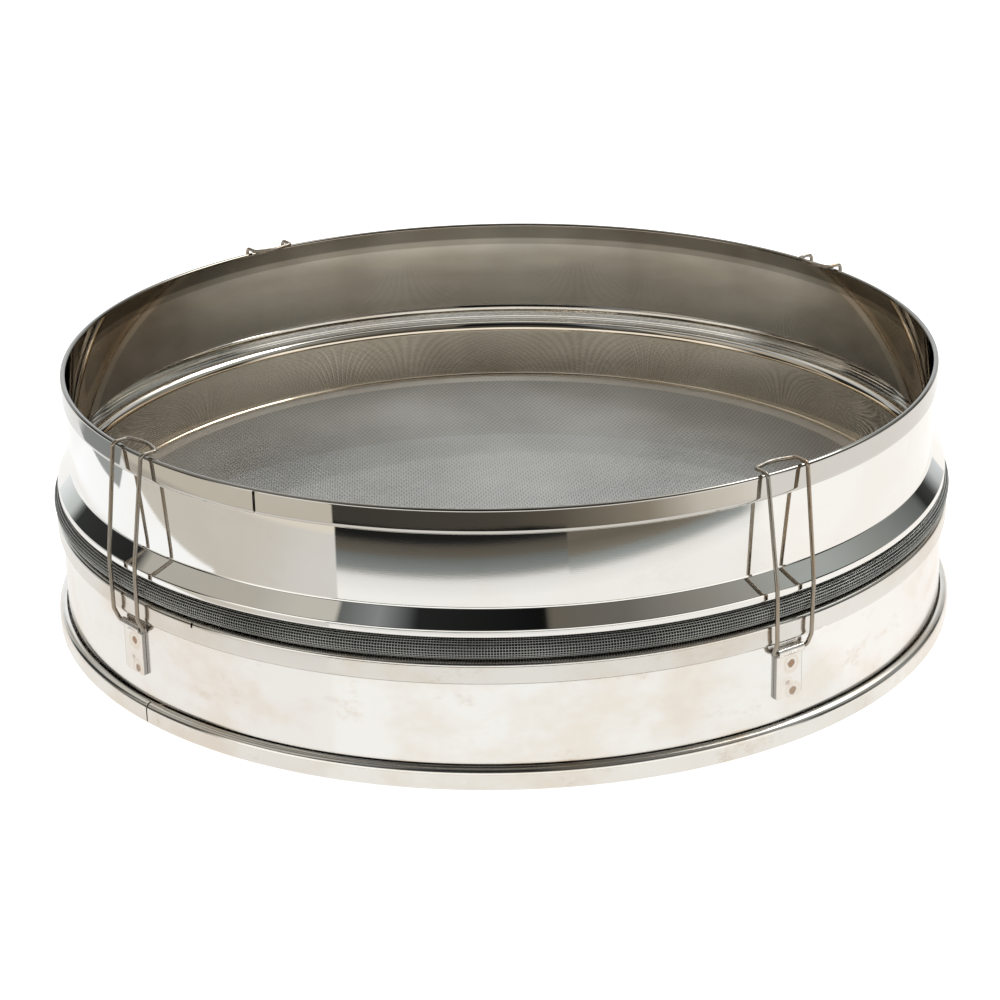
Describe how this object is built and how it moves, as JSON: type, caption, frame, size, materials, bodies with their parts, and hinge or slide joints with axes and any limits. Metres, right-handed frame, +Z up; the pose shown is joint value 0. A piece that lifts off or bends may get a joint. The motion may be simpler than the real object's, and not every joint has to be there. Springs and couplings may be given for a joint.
{
  "type": "drum sieve",
  "caption": "Round stainless steel drum sieve for a pastry kitchen: two polished hoops that clamp an exchangeable fine mesh screen, held together by four hinged wire clips.",
  "frame": {"origin": "centre of the base ring, on the surface that the sieve stands on", "axes": "+Z up along the axis of the hoops; -Y is the front of the picture and +X its right"},
  "size_m": [0.3152, 0.3152, 0.0929],
  "materials": {
    "hoop_steel": "polished",
    "mesh_cloth": "woven",
    "roll_cloth": "woven",
    "ring_steel": "drawn",
    "wire_steel": "drawn",
    "strap_steel": "rolled"
  },
  "bodies": {
    "base": {"lower_hoop": "hoop_steel", "clip_strap_1": "strap_steel", "clip_strap_2": "strap_steel", "clip_strap_3": "strap_steel", "clip_strap_4": "strap_steel"},
    "hoop": {"upper_hoop": "hoop_steel"},
    "screen": {"sieve_mesh": "mesh_cloth", "mesh_edge_wrap": "roll_cloth", "screen_ring": "ring_steel"},
    "clip_1": {"wire_clip_1": "wire_steel"},
    "clip_2": {"wire_clip_2": "wire_steel"},
    "clip_3": {"wire_clip_3": "wire_steel"},
    "clip_4": {"wire_clip_4": "wire_steel"}
  },
  "joints": [
    {"name": "hoop_lift", "type": "slide", "parent": "base", "child": "hoop", "axis": [0, 0, 1], "range_m": [0, 0.02]},
    {"name": "screen_lift", "type": "slide", "parent": "base", "child": "screen", "axis": [0, 0, 1], "range_m": [0, 0.01]},
    {"name": "clip_hinge_1", "type": "hinge", "parent": "base", "child": "clip_1", "pos_m": [0.08928, -0.1275, 0.03199], "axis": [0.8192, 0.5736, 0], "range_deg": [0, 120]},
    {"name": "clip_hinge_2", "type": "hinge", "parent": "base", "child": "clip_2", "pos_m": [0.12592, 0.09149, 0.03199], "axis": [-0.5878, 0.809, 0], "range_deg": [0, 120]},
    {"name": "clip_hinge_3", "type": "hinge", "parent": "base", "child": "clip_3", "pos_m": [-0.09149, 0.12592, 0.03199], "axis": [-0.809, -0.5878, 0], "range_deg": [0, 120]},
    {"name": "clip_hinge_4", "type": "hinge", "parent": "base", "child": "clip_4", "pos_m": [-0.1201, -0.09901, 0.03199], "axis": [0.6361, -0.7716, 0], "range_deg": [0, 120]}
  ],
  "couplings": [
    {"joint": "screen_lift", "follows": "hoop_lift", "ratio": 0.5},
    {"joint": "clip_hinge_1", "follows": "hoop_lift", "rad_per_m": 104.72},
    {"joint": "clip_hinge_2", "follows": "hoop_lift", "rad_per_m": 104.72},
    {"joint": "clip_hinge_3", "follows": "hoop_lift", "rad_per_m": 104.72},
    {"joint": "clip_hinge_4", "follows": "hoop_lift", "rad_per_m": 104.72}
  ]
}
